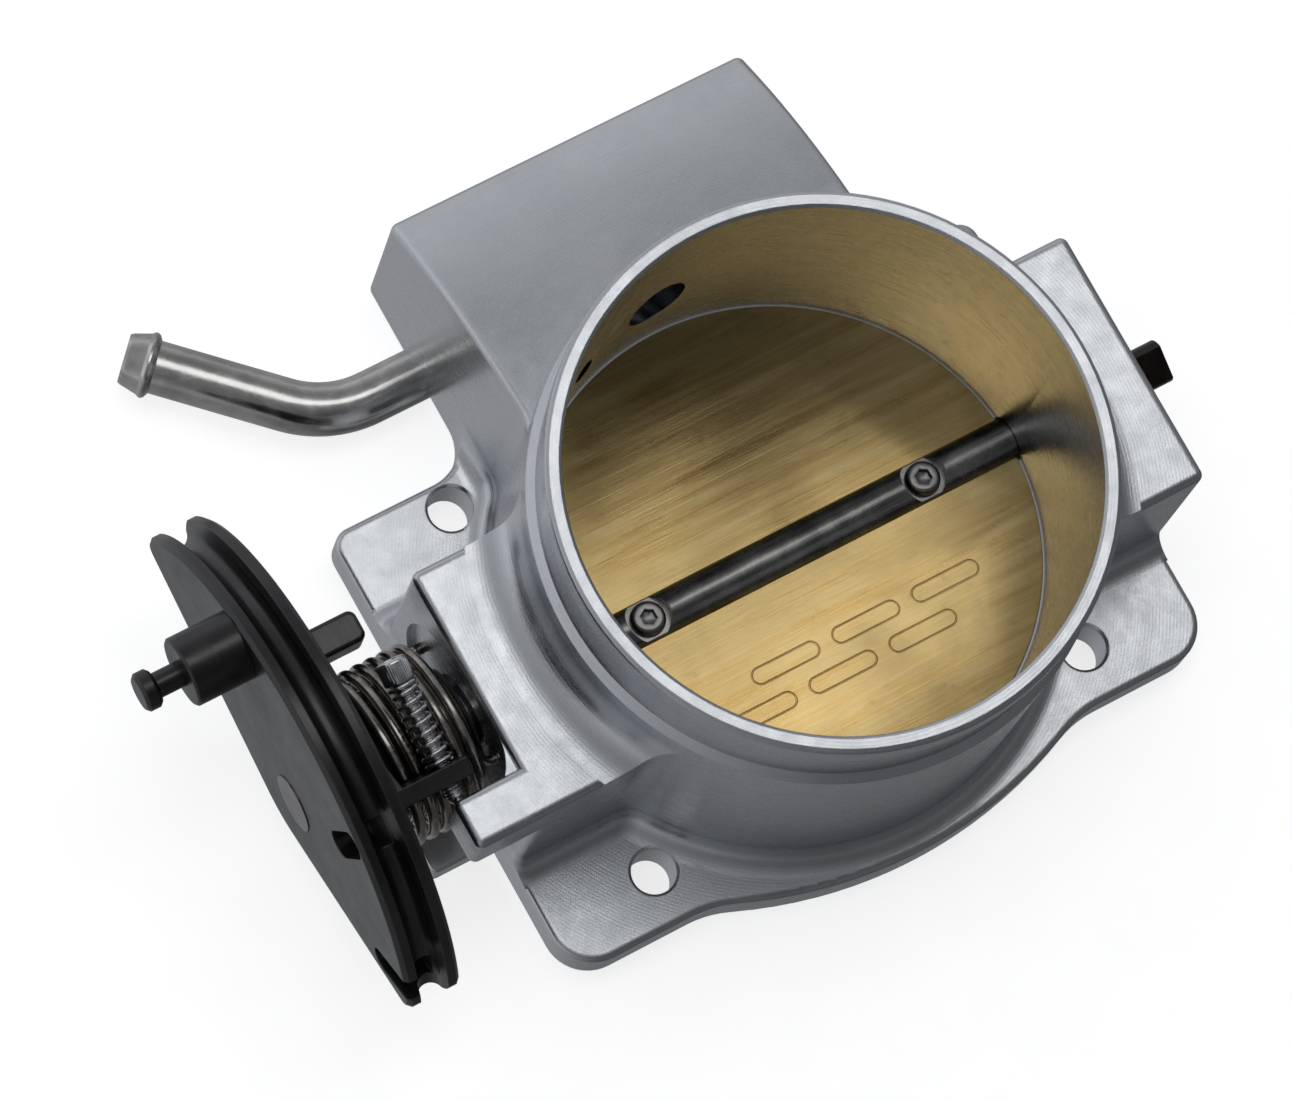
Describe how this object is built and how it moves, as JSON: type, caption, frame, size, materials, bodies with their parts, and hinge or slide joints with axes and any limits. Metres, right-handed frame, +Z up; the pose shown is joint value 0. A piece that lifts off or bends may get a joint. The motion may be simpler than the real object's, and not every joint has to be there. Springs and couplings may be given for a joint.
{
  "type": "throttle body",
  "caption": "Cable-operated butterfly throttle body: round bore with pivoting plate, four-bolt flange, cam-shaped cable wheel, return springs, idle-air block and hose tube.",
  "frame": {"origin": "centre of the air bore on the flange's mounting face", "axes": "+Z up the bore axis, towards the air inlet; +X along the throttle shaft, from the cable wheel to the sensor end; +Y towards the idle-air block"},
  "size_m": [0.1918, 0.1443, 0.077],
  "materials": {
    "housing_aluminium": "satin",
    "plate_brass": "brushed",
    "shaft_steel": "satin",
    "screw_steel": "satin",
    "polished_steel": "gloss",
    "bearing_steel": "gloss",
    "spring_steel": "gloss",
    "wheel_black": "semi-gloss",
    "seal_rubber": "matt",
    "sleeve_plastic": "matt",
    "tube_stainless": "satin"
  },
  "bodies": {
    "housing": {"housing": "housing_aluminium", "hose_barb_tube": "tube_stainless", "lever_bearing_outer_race": "bearing_steel", "sensor_bearing_outer_race": "bearing_steel", "lever_shaft_seal": "seal_rubber", "sensor_shaft_seal": "seal_rubber", "return_spring_outer": "spring_steel", "return_spring_inner": "spring_steel"},
    "throttle": {"throttle_shaft": "shaft_steel", "throttle_plate": "plate_brass", "throttle_plate_screws": "screw_steel", "lever_bearing_inner_race": "bearing_steel", "lever_bearing_balls": "polished_steel", "sensor_bearing_inner_race": "bearing_steel", "sensor_bearing_balls": "polished_steel", "preload_washer": "bearing_steel", "shaft_retaining_ring": "screw_steel", "cable_wheel": "wheel_black", "stop_lever": "wheel_black", "stud_spacer": "wheel_black", "lever_stud": "wheel_black", "idle_stop_screw": "polished_steel", "idle_screw_spring": "polished_steel", "lever_spacer": "bearing_steel", "spring_sleeve": "sleeve_plastic"}
  },
  "joints": [
    {"name": "throttle_hinge", "type": "hinge", "parent": "housing", "child": "throttle", "pos_m": [0, 0, 0.0255], "axis": [1, 0, 0], "range_deg": [-85, 0], "stiffness_Nm_per_rad": 0.385, "springref_deg": 89.95, "deforming": ["return_spring_outer", "return_spring_inner"]}
  ]
}
